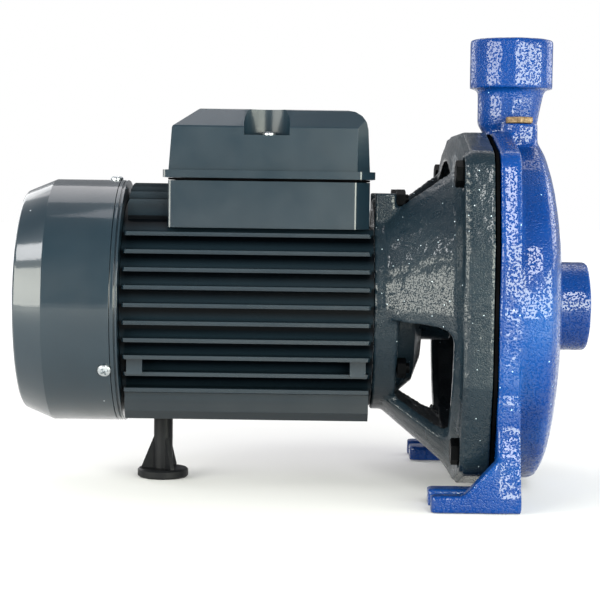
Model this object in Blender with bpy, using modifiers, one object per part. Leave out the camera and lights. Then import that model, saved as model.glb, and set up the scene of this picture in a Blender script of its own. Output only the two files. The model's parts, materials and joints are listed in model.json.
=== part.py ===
"""Close-coupled centrifugal water pump with a finned electric motor."""
import math

import bmesh
import bpy
from mathutils import Matrix, Vector

mm = 0.001

# The machine lies along X with the suction port towards +X, and its feet stand on Z = 0.
joint_gap = 0.3 * mm
face_step = 0.5 * mm

# Lengths along the machine, from the fan end to the suction face
cover_length = 55.0 * mm
shield_rim_length = 4.4 * mm
housing_length = 142.0 * mm
bracket_length = 63.1 * mm
gasket_thickness = 2.0 * mm
casing_depth = 41.0 * mm
inlet_length = 20.5 * mm

# Fan end
cover_radius = 70.5 * mm
cover_wall = 1.6 * mm
cover_chamfer_length = 17.0 * mm
cover_chamfer_height = 6.0 * mm
cover_round = 3.4 * mm
slot_width = 3.6 * mm
slot_first_radius = 15.0 * mm
slot_pitch = 8.6 * mm
slot_rings = 5
slot_sectors = 6
slot_bridge = 5.0 * mm
fan_tip_gap = 12.0 * mm
fan_hub_radius = 15.0 * mm
fan_length = 26.0 * mm
fan_blades = 8
fan_web = 2.4 * mm
fan_cover_clearance = 6.0 * mm
shield_spigot_length = 12.0 * mm
shield_web = 7.0 * mm
shield_rim_wall = 5.0 * mm
bearing_boss_radius = 24.0 * mm
bearing_boss_reach = 2.0 * mm

# Motor housing
shaft_radius = 8.0 * mm
fin_envelope_radius = 69.0 * mm
core_radius = 58.5 * mm
fin_thickness = 2.2 * mm
side_fin_pitch = 9.8 * mm
side_fin_top = 40.8 * mm
side_fins = 10
top_fin_pitch = 8.6 * mm
top_fins = 9
fin_end_chamfer = 3.0 * mm
end_recess = 2.1 * mm
spigot_radius = 60.0 * mm
base_half_width = 46.0 * mm
base_drop = 64.8 * mm
base_chamfer = 5.0 * mm
base_ledge = 0.8 * mm
fin_pad_length = 8.8 * mm
fin_pad_row = 7
fin_pad_inset = 3.0 * mm

# Terminal box
box_start = 25.8 * mm
box_end_gap = 2.8 * mm
box_half_width = 50.0 * mm
box_seat_height = 44.0 * mm
box_base_height = 26.4 * mm
box_wall = 3.0 * mm
box_corner = 8.0 * mm
box_edge_round = 2.0 * mm
box_seal = 1.0 * mm
lid_overhang = 2.8 * mm
lid_flange_height = 4.3 * mm
lid_height = 34.6 * mm
lid_slope = 10.3 * mm
lid_bevel = 10.0 * mm
lid_ramp = 15.0 * mm
lid_round = 11.5 * mm
lid_draft = 2.0 * mm
lid_screw_place = 55.0 * mm
lid_screw_recess = 13.0 * mm
lid_recess_depth = 14.7 * mm
gland_radius = 9.0 * mm
gland_length = 18.0 * mm
gland_place = 40.0 * mm
gland_taper = 0.75
gland_bore = 0.45

# Bracket between motor and pump
ring_length = 13.6 * mm
ring_radius = 62.0 * mm
ring_bore_radius = 54.0 * mm
cone_setback = 5.6 * mm
cone_start_radius = 61.0 * mm
cone_wall = 11.2 * mm
flare_length = 3.6 * mm
flare_height = 6.0 * mm
flange_thickness = 13.8 * mm
flange_step = 2.9 * mm
flange_step_inset = 2.2 * mm
rim_lip = 0.7 * mm
rim_flat = 38.0 * mm
ear_reach = 7.5 * mm
ear_radius = 14.0 * mm
bolt_hole_radius = 4.5 * mm
spot_face_radius = 9.2 * mm
tie_lug_width = 10.4 * mm
tie_lug_length = 12.6 * mm
tie_lug_height = 10.5 * mm
tie_lug_offset = 34.0 * mm
window_front_land = 3.8 * mm
side_window_top = -5.0
side_window_bottom = -56.0
window_corner = 8.0 * mm
top_window_half_angle = 32.0

# Bearing housing inside the bracket
dome_rim_length = 9.0 * mm
dome_shoulder = 15.0 * mm
dome_shoulder_drop = 1.7 * mm
dome_round = 23.5 * mm
dome_round_drop = 8.7 * mm
dome_nose = 28.0 * mm
dome_nose_radius = 33.0 * mm
hub_radius = 21.0 * mm
hub_length = 46.0 * mm

# Pump end
chamber_radius = 88.0 * mm
casing_wall = 11.3 * mm
chamber_depth = 31.0 * mm
chamber_bevel = 8.0 * mm
shoulder_depth = 25.0 * mm
crown_sweep = 78.0
suction_plate_radius = 58.0 * mm
sump_depth = 2.4 * mm
sump_drop = 0.02
casing_flange_thickness = 12.0 * mm
inlet_radius = 26.0 * mm
inlet_bore_radius = 19.5 * mm
outlet_offset = 15.2 * mm
outlet_height = 55.8 * mm
collar_radius = 24.1 * mm
collar_height = 29.0 * mm
neck_radius = 17.4 * mm
neck_flare = 2.0 * mm
neck_lean = 2.0 * mm
outlet_bore_radius = 11.0 * mm
thread_bore_radius = 16.6 * mm
thread_depth = 22.0 * mm
rim_edge = 1.0 * mm
seal_plate_thickness = 5.0 * mm
seal_plate_lap = 3.0 * mm
seal_seat_radius = 14.0 * mm
seal_seat_reach = 3.0 * mm
shaft_seal_radius = 12.5 * mm
slinger_radius = 17.0 * mm
slinger_width = 3.0 * mm
slinger_back = 3.0 * mm
impeller_tip_gap = 8.0 * mm
impeller_back_gap = 5.5 * mm
impeller_vanes = 6
impeller_width = 14.0 * mm
impeller_shroud = 2.6 * mm
impeller_hub_radius = 14.0 * mm
vane_thickness = 2.6 * mm
vane_sweep = 110.0
vane_start = 195.0
vane_bend = 0.55
vane_bend_along = 0.425
vane_bend_across = 0.25
shroud_slope = 1.5
eye_radius = 23.0 * mm
eye_length = 8.0 * mm
wear_ring_width = 4.5 * mm
wear_ring_length = 6.5 * mm
impeller_nut_length = 6.7 * mm
plug_boss_radius = 10.7 * mm
plug_offset_x = 17.2 * mm
plug_offset_y = 26.6 * mm
plug_boss_height = 6.2 * mm
plug_radius = 8.4 * mm
plug_height = 3.9 * mm

# Feet
floor_clearance = 4.4 * mm
foot_width = 37.0 * mm
foot_flare = 10.0 * mm
foot_length = 48.6 * mm
foot_front_reach = 1.2 * mm
foot_thickness = 9.2 * mm
foot_slot_width = 12.0 * mm
foot_slot_edge = 10.0 * mm
foot_slot_depth = 30.0 * mm
foot_web_rise = 19.0 * mm
foot_web_run = 18.0 * mm
foot_round = 3.0 * mm
foot_leg_tip = 7.0 * mm
foot_leg_edge = 1.2 * mm
foot_leg_shoulder = 44.0 * mm
leg_position = 20.7 * mm
leg_column_radius = 5.6 * mm
leg_disc_radius = 15.0 * mm
leg_disc_height = 5.2 * mm
leg_rib = 2.4 * mm
leg_gusset_crest = 0.6

casing_radius = chamber_radius + casing_wall
flange_half = casing_radius + rim_lip
axis_height = flange_half + floor_clearance
bolt_offset = (flange_half + ear_reach) / math.sqrt(2)
impeller_radius = chamber_radius - impeller_tip_gap
seal_plate_radius = chamber_radius + seal_plate_lap
foot_outer = flange_half + foot_flare
foot_inner = foot_outer - foot_width
fan_radius = cover_radius - cover_wall - fan_tip_gap
shaft_clearance = shaft_radius + joint_gap

total_length = (cover_length + shield_rim_length + housing_length + bracket_length
                + gasket_thickness + casing_depth + inlet_length)
x_rear = -total_length / 2
x_shield = x_rear + cover_length
x_housing = x_shield + shield_rim_length
x_bracket = x_housing + housing_length
x_gasket = x_bracket + bracket_length
x_casing = x_gasket + gasket_thickness
x_front_wall = x_casing + casing_depth
x_inlet_face = x_front_wall + inlet_length
x_flange_front = x_gasket - joint_gap
x_flange_back = x_flange_front - flange_thickness
x_step_back = x_flange_back - flange_step
x_window_front = x_step_back - window_front_land
x_cone = x_bracket + cone_setback
x_outlet = x_casing + outlet_offset
x_fan = x_rear + cover_wall + fan_cover_clearance
x_impeller = x_casing + impeller_back_gap


def clear_scene():
    for thing in list(bpy.data.objects):
        bpy.data.objects.remove(thing, do_unlink=True)


def new_collection(name):
    collection = bpy.data.collections.new(name)
    bpy.context.scene.collection.children.link(collection)
    return collection


clear_scene()
parts = new_collection("centrifugal_pump")
cutters = new_collection("cutters")


def make_material(name, colour, roughness, metallic):
    material = bpy.data.materials.new(name)
    material.use_nodes = True
    shader = material.node_tree.nodes["Principled BSDF"]
    shader.inputs["Base Color"].default_value = (*colour, 1.0)
    shader.inputs["Roughness"].default_value = roughness
    shader.inputs["Metallic"].default_value = metallic
    return material


motor_paint = make_material("motor paint", (0.045, 0.065, 0.08), 0.35, 0.0)
bracket_paint = make_material("bracket paint", (0.04, 0.06, 0.075), 0.3, 0.0)
casing_paint = make_material("casing paint", (0.02, 0.08, 0.5), 0.3, 0.0)
black_plastic = make_material("black plastic", (0.02, 0.022, 0.028), 0.45, 0.0)
seal_rubber = make_material("seal rubber", (0.01, 0.01, 0.01), 0.7, 0.0)
bright_steel = make_material("bright steel", (0.6, 0.6, 0.62), 0.3, 1.0)
plug_brass = make_material("plug brass", (0.7, 0.45, 0.16), 0.35, 1.0)
impeller_brass = make_material("impeller brass", (0.6, 0.42, 0.2), 0.4, 1.0)


def link_mesh(name, mesh, material=None):
    """A finished piece goes with the parts, and a helper with the cutters."""
    thing = bpy.data.objects.new(name, mesh)
    if material is None:
        cutters.objects.link(thing)
        thing.hide_render = True
        thing.display_type = "WIRE"
        return thing
    parts.objects.link(thing)
    mesh.materials.clear()
    mesh.materials.append(material)
    return thing


def close_mesh(mesh, matrix=None):
    """Welds the mesh, moves it to its place and turns its faces outwards."""
    shape = bmesh.new()
    shape.from_mesh(mesh)
    if matrix is not None:
        bmesh.ops.transform(shape, matrix=matrix, verts=shape.verts)
    bmesh.ops.remove_doubles(shape, verts=shape.verts, dist=1e-6)
    bmesh.ops.dissolve_limit(shape, angle_limit=math.radians(0.05), verts=shape.verts,
                             edges=shape.edges)
    bmesh.ops.recalc_face_normals(shape, faces=shape.faces)
    shape.to_mesh(mesh)
    shape.free()
    return mesh


def evaluated_mesh(thing):
    bpy.context.view_layer.update()
    graph = bpy.context.evaluated_depsgraph_get()
    return bpy.data.meshes.new_from_object(thing.evaluated_get(graph))


along_x = Matrix(((0, 0, 1, 0), (0, 1, 0, 0), (-1, 0, 0, 0), (0, 0, 0, 1)))
upright = Matrix(((0, 0, -1, 0), (0, 1, 0, 0), (1, 0, 0, 0), (0, 0, 0, 1)))


def turned(name, profile, material=None, steps=48, centre=(0, axis_height), closed=True):
    """Turns a profile of (x, radius) points about a line along X."""
    mesh = bpy.data.meshes.new(name)
    points = [(radius, 0, x) for x, radius in profile]
    edges = [(i, i + 1) for i in range(len(points) - 1)]
    if closed:
        edges.append((len(points) - 1, 0))
    mesh.from_pydata(points, edges, [])
    guide = bpy.data.objects.new(name + "_profile", mesh)
    cutters.objects.link(guide)
    screw = guide.modifiers.new("turn", "SCREW")
    screw.axis = "Z"
    screw.steps = steps
    screw.render_steps = steps
    screw.use_merge_vertices = True
    screw.merge_threshold = 1e-6
    solid = evaluated_mesh(guide)
    bpy.data.objects.remove(guide, do_unlink=True)
    solid.name = name
    place = Matrix.Translation((0, centre[0], centre[1])) @ along_x
    solid = close_mesh(solid, place)
    solid.shade_smooth()
    solid.set_sharp_from_angle(angle=math.radians(35))
    return link_mesh(name, solid, material)


def upright_turned(name, profile, centre, steps, material=None):
    """Turns a profile of (z, radius) points about an upright line."""
    closed = profile[0][1] > 0
    thing = turned(name, profile, material, steps, (0, 0), closed)
    thing.data.transform(Matrix.Translation((centre[0], centre[1], 0)) @ upright)
    return thing


planes = {
    "YZ": Matrix(((0, 0, 1, 0), (1, 0, 0, 0), (0, 1, 0, 0), (0, 0, 0, 1))),
    "XZ": Matrix(((1, 0, 0, 0), (0, 0, 1, 0), (0, 1, 0, 0), (0, 0, 0, 1))),
    "XY": Matrix.Identity(4),
}
normals = {"YZ": Vector((1, 0, 0)), "XZ": Vector((0, 1, 0)), "XY": Vector((0, 0, 1))}


def prism(name, outlines, plane, low, high, material=None):
    """Extrudes flat outlines between two positions along the plane's normal."""
    curve = bpy.data.curves.new(name, "CURVE")
    curve.dimensions = "2D"
    curve.fill_mode = "BOTH"
    curve.extrude = (high - low) / 2
    for outline in outlines:
        spline = curve.splines.new("POLY")
        spline.points.add(len(outline) - 1)
        for point, (a, b) in zip(spline.points, outline):
            point.co = (a, b, 0, 1)
        spline.use_cyclic_u = True
    guide = bpy.data.objects.new(name + "_outline", curve)
    cutters.objects.link(guide)
    solid = evaluated_mesh(guide)
    bpy.data.objects.remove(guide, do_unlink=True)
    solid.name = name
    middle = Matrix.Translation(normals[plane] * (low + high) / 2)
    return link_mesh(name, close_mesh(solid, middle @ planes[plane]), material)


def block(name, low, high, material=None):
    shape = bmesh.new()
    bmesh.ops.create_cube(shape, size=1.0)
    size = [b - a for a, b in zip(low, high)]
    middle = [(a + b) / 2 for a, b in zip(low, high)]
    bmesh.ops.scale(shape, vec=size, verts=shape.verts)
    bmesh.ops.translate(shape, vec=middle, verts=shape.verts)
    mesh = bpy.data.meshes.new(name)
    shape.to_mesh(mesh)
    shape.free()
    return link_mesh(name, mesh, material)


def rod(name, radius, start, end, material=None, sides=32, end_radius=None):
    """A round bar or a taper between two points."""
    start = Vector(start)
    end = Vector(end)
    shape = bmesh.new()
    bmesh.ops.create_cone(shape, cap_ends=True, segments=sides, radius1=radius,
                          radius2=radius if end_radius is None else end_radius,
                          depth=(end - start).length)
    turn = (end - start).to_track_quat("Z", "Y").to_matrix().to_4x4()
    bmesh.ops.transform(shape, matrix=Matrix.Translation((start + end) / 2) @ turn,
                        verts=shape.verts)
    mesh = bpy.data.meshes.new(name)
    shape.to_mesh(mesh)
    shape.free()
    mesh.shade_smooth()
    mesh.set_sharp_from_angle(angle=math.radians(40))
    return link_mesh(name, mesh, material)


def boolean(target, tool, operation):
    change = target.modifiers.new(tool.name, "BOOLEAN")
    change.operation = operation
    change.solver = "EXACT"
    change.object = tool


def join(target, *tools):
    for tool in tools:
        boolean(target, tool, "UNION")


def cut(target, *tools):
    for tool in tools:
        boolean(target, tool, "DIFFERENCE")


def arc(centre, radius, start, end, steps):
    """Points on an arc, with its angles in degrees."""
    points = []
    for i in range(steps + 1):
        angle = math.radians(start + (end - start) * i / steps)
        points.append((centre[0] + radius * math.cos(angle),
                       centre[1] + radius * math.sin(angle)))
    return points


def circle(centre, radius, steps):
    return arc(centre, radius, 0, 360 * (steps - 1) / steps, steps - 1)


def rounded(corners, steps=5):
    """An outline from (a, b, radius) corners, each rounded by its own radius."""
    outline = []
    count = len(corners)
    for i, (a, b, radius) in enumerate(corners):
        here = Vector((a, b))
        if radius == 0:
            outline.append((a, b))
            continue
        back = (Vector(corners[i - 1][:2]) - here).normalized()
        ahead = (Vector(corners[(i + 1) % count][:2]) - here).normalized()
        half = back.angle(ahead) / 2
        reach = radius / math.tan(half)
        centre = here + (back + ahead).normalized() * (radius / math.sin(half))
        first = here + back * reach - centre
        last = here + ahead * reach - centre
        sweep = first.angle_signed(last)
        for k in range(steps + 1):
            turn = Matrix.Rotation(-sweep * k / steps, 2)
            outline.append(tuple(centre + turn @ first))
    return outline


def at_axis(points):
    """Moves an outline drawn round the shaft up to the shaft's height."""
    return [(y, z + axis_height) for y, z in points]


def ear_slope(half, ear):
    """The slant, in degrees, of the line from a flat side's end to its ear."""
    drop = half - bolt_offset
    run = bolt_offset - rim_flat
    return math.degrees(math.asin(ear / math.hypot(run, drop)) - math.atan2(drop, run))


def flange_outline(inset=0.0, ear_steps=6):
    """Four flat sides and four bolt ears, joined by lines tangent to the ears."""
    half = flange_half - inset
    ear = ear_radius - inset
    slope = ear_slope(half, ear)
    outline = []
    for quarter in range(4):
        turn = Matrix.Rotation(math.radians(90 * quarter), 2)
        ear_arc = arc((bolt_offset, bolt_offset), ear, -slope, 90 + slope, ear_steps)
        corner = [(half, rim_flat)] + ear_arc + [(rim_flat, half)]
        outline += [tuple(turn @ Vector(point)) for point in corner]
    return outline


bolt_centres = [(sy * bolt_offset, sz * bolt_offset) for sy in (-1, 1) for sz in (-1, 1)]


def bolt_holes(target, start, end, radius=bolt_hole_radius, sides=12):
    for y, z in at_axis(bolt_centres):
        cut(target, rod("bolt_hole", radius, (start, y, z), (end, y, z), sides=sides))


def make_fan_cover():
    face = cover_radius - cover_chamfer_height
    outer = [(x_rear, 0)]
    outer += arc((x_rear + cover_round, face - cover_round), cover_round, 180, 110, 3)
    outer += [(x_rear + cover_chamfer_length, cover_radius), (x_shield - joint_gap, cover_radius)]
    face -= cover_wall
    inner = [(x_rear + cover_wall, 0), (x_rear + cover_wall, face - cover_round),
             (x_rear + cover_wall + cover_round / 2, face),
             (x_rear + cover_chamfer_length, cover_radius - cover_wall),
             (x_shield - joint_gap, cover_radius - cover_wall)]
    cover = turned("fan_cover", outer + inner[::-1], motor_paint, 48, closed=False)
    slots = []
    for ring in range(slot_rings):
        radius = slot_first_radius + ring * slot_pitch
        bridge = math.degrees((slot_bridge + slot_width) / radius) / 2
        for sector in range(slot_sectors):
            start = 360 / slot_sectors * sector + bridge
            end = 360 / slot_sectors * (sector + 1) - bridge
            steps = 2 + ring // 2
            slots.append(at_axis(arc((0, 0), radius + slot_width / 2, start, end, steps)
                                 + arc((0, 0), radius - slot_width / 2, end, start, steps)))
    margin = 2 * cover_wall
    cut(cover, prism("cover_slots", slots, "YZ", x_rear - margin, x_rear + margin))


def make_fan():
    end = x_fan + fan_length
    hub = [(x_fan, shaft_clearance), (x_fan, fan_hub_radius), (end - fan_web, fan_hub_radius),
           (end - fan_web, fan_radius), (end, fan_radius), (end, shaft_clearance)]
    fan = turned("cooling_fan", hub, black_plastic, 32)
    for i in range(fan_blades):
        blade = block("fan_blade", (x_fan + fan_web / 2, -fan_web / 2, fan_hub_radius - fan_web),
                      (end - fan_web / 2, fan_web / 2, fan_radius - fan_web))
        turn = Matrix.Rotation(2 * math.pi * (i + 0.5) / fan_blades, 4, "X")
        blade.data.transform(Matrix.Translation((0, 0, axis_height)) @ turn)
        join(fan, blade)


def make_rear_shield():
    back = x_shield - shield_spigot_length
    inner_face = x_housing - joint_gap
    boss = back - bearing_boss_reach
    spigot = cover_radius - cover_wall - joint_gap
    profile = [(back, spigot), (x_shield, spigot), (x_shield, cover_radius),
               (inner_face, cover_radius), (inner_face, shaft_clearance),
               (boss, shaft_clearance), (boss, bearing_boss_radius),
               (inner_face - shield_web, bearing_boss_radius + bearing_boss_reach),
               (inner_face - shield_web, spigot - shield_rim_wall),
               (back, spigot - shield_rim_wall)]
    turned("rear_end_shield", profile[::-1], motor_paint, 48)


def comb_side(sign):
    """Outline of one side of the housing from the top fin down to the base."""
    outline = []
    half = fin_thickness / 2
    for k in range(side_fins):
        z = side_fin_top - k * side_fin_pitch
        tip = math.sqrt(fin_envelope_radius ** 2 - z ** 2)
        upper = math.sqrt(core_radius ** 2 - (z + half) ** 2)
        lower = math.sqrt(core_radius ** 2 - (z - half) ** 2)
        outline += [(upper, z + half), (tip, z + half), (tip, z - half)]
        if k < side_fins - 1:
            outline.append((lower, z - half))
    last = side_fin_top - (side_fins - 1) * side_fin_pitch - half
    outline += [(base_half_width, last - base_ledge),
                (base_half_width, -base_drop + base_chamfer),
                (base_half_width - base_chamfer, -base_drop)]
    return [(sign * y, z) for y, z in outline]


def comb_top():
    """Outline of the upright fins, from the near side to the far side."""
    outline = []
    half = fin_thickness / 2
    for k in range(top_fins):
        y = (k - (top_fins - 1) / 2) * top_fin_pitch
        tip = math.sqrt(fin_envelope_radius ** 2 - y ** 2)
        left = math.sqrt(core_radius ** 2 - (y - half) ** 2)
        right = math.sqrt(core_radius ** 2 - (y + half) ** 2)
        outline += [(y - half, left), (y - half, tip), (y + half, tip), (y + half, right)]
    return outline


def make_housing():
    outline = comb_top() + comb_side(1) + comb_side(-1)[::-1]
    start = x_housing + end_recess
    end = x_bracket - end_recess
    housing = prism("motor_housing", [at_axis(outline)], "YZ", start, end, motor_paint)
    far = fin_envelope_radius + fin_end_chamfer
    taper = [(start - fin_end_chamfer, fin_envelope_radius - 2 * fin_end_chamfer),
             (start + fin_end_chamfer, far), (end - fin_end_chamfer, far),
             (end + fin_end_chamfer, fin_envelope_radius - 2 * fin_end_chamfer)]
    envelope = [(taper[0][0], 0)] + taper + [(taper[-1][0], 0)]
    low_edge = axis_height - base_drop - base_chamfer
    keep = turned("fin_ends", envelope, steps=48, closed=False)
    base_zone = block("base_zone", (taper[0][0], -far, low_edge),
                      (taper[-1][0], far, axis_height - side_fin_top))
    join(keep, base_zone)
    boolean(housing, keep, "INTERSECT")
    spigots = turned("housing_spigots", [(x_housing, 0), (x_housing, spigot_radius),
                                         (x_bracket - joint_gap, spigot_radius),
                                         (x_bracket - joint_gap, 0)], steps=48, closed=False)
    join(housing, spigots)
    top_fin = side_fin_top - fin_pad_row * side_fin_pitch
    outer = math.sqrt(fin_envelope_radius ** 2 - top_fin ** 2) - fin_pad_inset
    inner = core_radius - 2 * side_fin_pitch
    for side in (-1, 1):
        near, far_side = sorted((side * outer, side * inner))
        for x in (start + fin_thickness, end - fin_pad_length - fin_thickness):
            low = (x, near, axis_height + top_fin - side_fin_pitch)
            high = (x + fin_pad_length, far_side, axis_height + top_fin)
            join(housing, block("fin_pad", low, high))
    reach = box_half_width + fin_envelope_radius
    seat_low = (x_housing + box_start - face_step, -reach, axis_height + box_seat_height)
    seat_high = (x_bracket + face_step, reach, axis_height + reach)
    cut(housing, block("box_seat", seat_low, seat_high))
    bore = rod("housing_bore", shaft_clearance, (x_rear, 0, axis_height),
               (x_front_wall, 0, axis_height), sides=24)
    cut(housing, bore)


def box_outline(grow):
    """Plan of the terminal box, with the pump-side corners cut off."""
    low = x_housing + box_start - grow
    high = x_bracket - box_end_gap + grow
    half = box_half_width + grow
    edge = box_edge_round
    return rounded([(low, -half, edge), (high - box_corner, -half, edge),
                    (high, -half + box_corner, edge), (high, half - box_corner, edge),
                    (high - box_corner, half, edge), (low, half, edge)], 2)


def lid_form(name, bottom, top, shrink):
    """The hood's outside, or its pocket when shrunk by the wall."""
    low = x_housing + box_start + shrink
    high = x_bracket - box_end_gap - shrink
    half = box_half_width - shrink
    ramp_foot = top - lid_slope
    front = [(low, bottom, 0), (high, bottom, 0), (high - lid_draft, top, lid_round),
             (low + lid_draft + lid_ramp, top, box_edge_round),
             (low + lid_draft, ramp_foot, box_edge_round)]
    hood = prism(name, [rounded(front, 4)], "XZ", -half, half)
    side = [(-half, bottom, 0), (half, bottom, 0), (half, ramp_foot, box_edge_round),
            (half - lid_bevel, top, box_edge_round), (-half + lid_bevel, top, box_edge_round),
            (-half, ramp_foot, box_edge_round)]
    across = prism(name + "_side", [rounded(side, 2)], "YZ", low - lid_draft, high + lid_draft)
    boolean(hood, across, "INTERSECT")
    plan = [(low - face_step, -half - face_step), (high - box_corner, -half - face_step),
            (high + face_step, -half + box_corner), (high + face_step, half - box_corner),
            (high - box_corner, half + face_step), (low - face_step, half + face_step)]
    corners = prism(name + "_plan", [plan], "XY", bottom - box_wall, top + box_wall)
    boolean(hood, corners, "INTERSECT")
    return hood


def make_terminal_box():
    bottom = axis_height + box_seat_height + joint_gap
    top = bottom + box_base_height
    base = prism("terminal_box_base", [box_outline(0)], "XY", bottom, top, motor_paint)
    cut(base, prism("box_pocket", [box_outline(-box_wall)], "XY", bottom + box_wall,
                    top + box_wall))
    seal_low = top + joint_gap
    seal_high = seal_low + box_seal
    prism("terminal_box_seal", [box_outline(0), box_outline(-box_wall)], "XY", seal_low,
          seal_high, seal_rubber)
    lid_bottom = seal_high + joint_gap
    flange_top = lid_bottom + lid_flange_height
    lid_top = flange_top + lid_height
    lid = prism("terminal_box_lid", [box_outline(lid_overhang)], "XY", lid_bottom, flange_top,
                motor_paint)
    join(lid, lid_form("lid_hood", lid_bottom + face_step, lid_top, 0))
    screw_x = x_housing + box_start + lid_screw_place
    recess_y = -box_half_width + lid_draft
    post = rod("lid_screw_post", lid_screw_recess + box_wall, (screw_x, recess_y, lid_bottom),
               (screw_x, recess_y, lid_top), sides=24)
    pocket = lid_form("lid_pocket", lid_bottom - box_wall, lid_top - box_wall, box_wall)
    cut(pocket, post)
    cut(lid, pocket)
    cut(lid, rod("lid_screw_recess", lid_screw_recess,
                 (screw_x, recess_y, lid_top - lid_recess_depth),
                 (screw_x, recess_y, lid_top + box_wall), sides=24))
    gland_z = bottom + box_base_height / 2
    gland_x = x_housing + box_start + gland_place
    wall_y = box_half_width + joint_gap
    body_end = wall_y + gland_length / 2
    rod("cable_gland", gland_radius, (gland_x, wall_y, gland_z), (gland_x, body_end, gland_z),
        black_plastic, 6)
    nut_start = body_end + joint_gap
    nut_end = wall_y + gland_length
    nut = rod("gland_nut", gland_radius, (gland_x, nut_start, gland_z),
              (gland_x, nut_end, gland_z), black_plastic, 20, gland_radius * gland_taper)
    cut(nut, rod("gland_bore", gland_radius * gland_bore, (gland_x, nut_start + face_step, gland_z),
                 (gland_x, nut_end + face_step, gland_z), sides=16))


def sector(name, start, end, start_angle, end_angle, corner):
    """A wedge round the shaft whose two front edges are rounded, to cut a window."""
    reach = 2 * flange_half
    outline = [(0, 0)] + [(reach * math.cos(math.radians(a)), reach * math.sin(math.radians(a)))
                          for a in (start_angle, end_angle)]
    wedge = prism(name, [at_axis(outline)], "YZ", start, end)
    shape = bmesh.new()
    shape.from_mesh(wedge.data)
    hub = Vector((end, 0, axis_height))
    front = []
    for edge in shape.edges:
        ends = [v.co for v in edge.verts]
        on_front = all(abs(co.x - end) < joint_gap for co in ends)
        if on_front and min((co - hub).length for co in ends) < joint_gap:
            front.append(edge)
    bmesh.ops.bevel(shape, geom=front, offset=corner, segments=3, profile=0.5, affect="EDGES")
    shape.to_mesh(wedge.data)
    shape.free()
    return wedge


def make_bracket():
    cone_slope_end = (x_step_back - flare_length, flange_half - flange_step_inset - flare_height)
    inner_end = cone_slope_end[1] + flare_height - cone_wall
    plate_seat = x_flange_front - seal_plate_thickness - joint_gap
    recess = seal_plate_radius + joint_gap
    step_radius = flange_half - flange_step_inset - rim_lip
    profile = [(x_cone, cone_start_radius), cone_slope_end, (x_step_back, step_radius),
               (x_flange_front, step_radius), (x_flange_front, recess), (plate_seat, recess),
               (plate_seat, inner_end), (x_step_back, inner_end),
               (x_cone, ring_bore_radius + face_step)]
    bracket = turned("motor_bracket", profile, bracket_paint, 48)
    for name, middle in (("far_window", 0), ("near_window", 180)):
        low = side_window_bottom if middle == 0 else 180 - side_window_top
        high = side_window_top if middle == 0 else 180 - side_window_bottom
        cut(bracket, sector(name, x_cone - face_step, x_window_front, low, high, window_corner))
    cut(bracket, sector("top_window", x_cone - face_step, x_window_front,
                        90 - top_window_half_angle, 90 + top_window_half_angle, face_step))
    ring = [(x_bracket, ring_radius), (x_bracket + ring_length, ring_radius),
            (x_bracket + ring_length, ring_bore_radius), (x_bracket, ring_bore_radius)]
    rear_ring = turned("bracket_ring", ring, steps=48)
    for side in (-1, 1):
        near, far = sorted((side * (tie_lug_offset - tie_lug_width / 2),
                            side * (tie_lug_offset + tie_lug_width / 2)))
        root = axis_height + math.sqrt(ring_radius ** 2 - tie_lug_offset ** 2)
        crest = root + tie_lug_height + tie_lug_height / 4
        join(rear_ring, block("tie_lug", (x_bracket + face_step, near, root - tie_lug_height / 2),
                              (x_bracket + tie_lug_length, far, crest)))
    join(bracket, rear_ring)
    ring_inner = circle((0, 0), recess + seal_plate_lap, 48)
    join(bracket, prism("bracket_flange", [at_axis(flange_outline()), at_axis(ring_inner)], "YZ",
                        x_flange_back, x_flange_front - face_step / 2))
    join(bracket, prism("bracket_step", [at_axis(flange_outline(flange_step_inset)),
                                         at_axis(ring_inner)], "YZ", x_step_back + face_step / 2,
                        x_flange_back + face_step))
    bolt_holes(bracket, x_step_back - flare_length, x_flange_front + face_step)
    bolt_holes(bracket, x_step_back - flare_length, x_flange_back, spot_face_radius, 20)


def make_bearing_housing():
    start = x_bracket + face_step
    rim = ring_bore_radius - joint_gap
    profile = [(start, shaft_clearance), (start, rim), (start + dome_rim_length, rim),
               (start + dome_shoulder, rim - dome_shoulder_drop),
               (start + dome_round, rim - dome_round_drop),
               (start + dome_nose, dome_nose_radius),
               (start + dome_nose + face_step, hub_radius),
               (start + hub_length - face_step, hub_radius),
               (start + hub_length, hub_radius - face_step),
               (start + hub_length, shaft_clearance)]
    turned("bearing_housing", profile[::-1], bracket_paint, 36)


def make_seal():
    start = x_flange_front - seal_plate_thickness
    profile = [(start, seal_seat_radius), (start, seal_plate_radius),
               (x_flange_front, seal_plate_radius), (x_flange_front, seal_seat_radius)]
    turned("seal_plate", profile[::-1], bright_steel, 48)
    seat_start = start - seal_seat_reach
    seat = seal_seat_radius - joint_gap
    turned("seal_seat", [(seat_start, shaft_clearance), (seat_start, seat),
                         (x_flange_front, seat), (x_flange_front, shaft_clearance)][::-1],
           seal_rubber, 24)
    seal_end = x_impeller - joint_gap
    turned("shaft_seal", [(x_gasket, shaft_clearance), (x_gasket, shaft_seal_radius),
                          (seal_end, shaft_seal_radius), (seal_end, shaft_clearance)][::-1],
           seal_rubber, 24)


def make_gasket():
    holes = [circle(centre, bolt_hole_radius, 12) for centre in bolt_centres]
    inner = circle((0, 0), chamber_radius + rim_edge, 48)
    prism("casing_gasket", [at_axis(outline) for outline in
                            [flange_outline(rim_edge), inner] + holes],
          "YZ", x_gasket, x_casing - joint_gap, seal_rubber)


def crown(start, end, steps):
    """Points of the casing's domed front, with the angles in degrees from its rim."""
    points = []
    for i in range(steps + 1):
        angle = math.radians(start + (end - start) * i / steps)
        points.append((x_casing + shoulder_depth
                       + (casing_depth - shoulder_depth) * math.sin(angle),
                       inlet_radius + (casing_radius - inlet_radius) * math.cos(angle)))
    return points


def crown_angle(radius):
    return math.degrees(math.acos((radius - inlet_radius) / (casing_radius - inlet_radius)))


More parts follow.
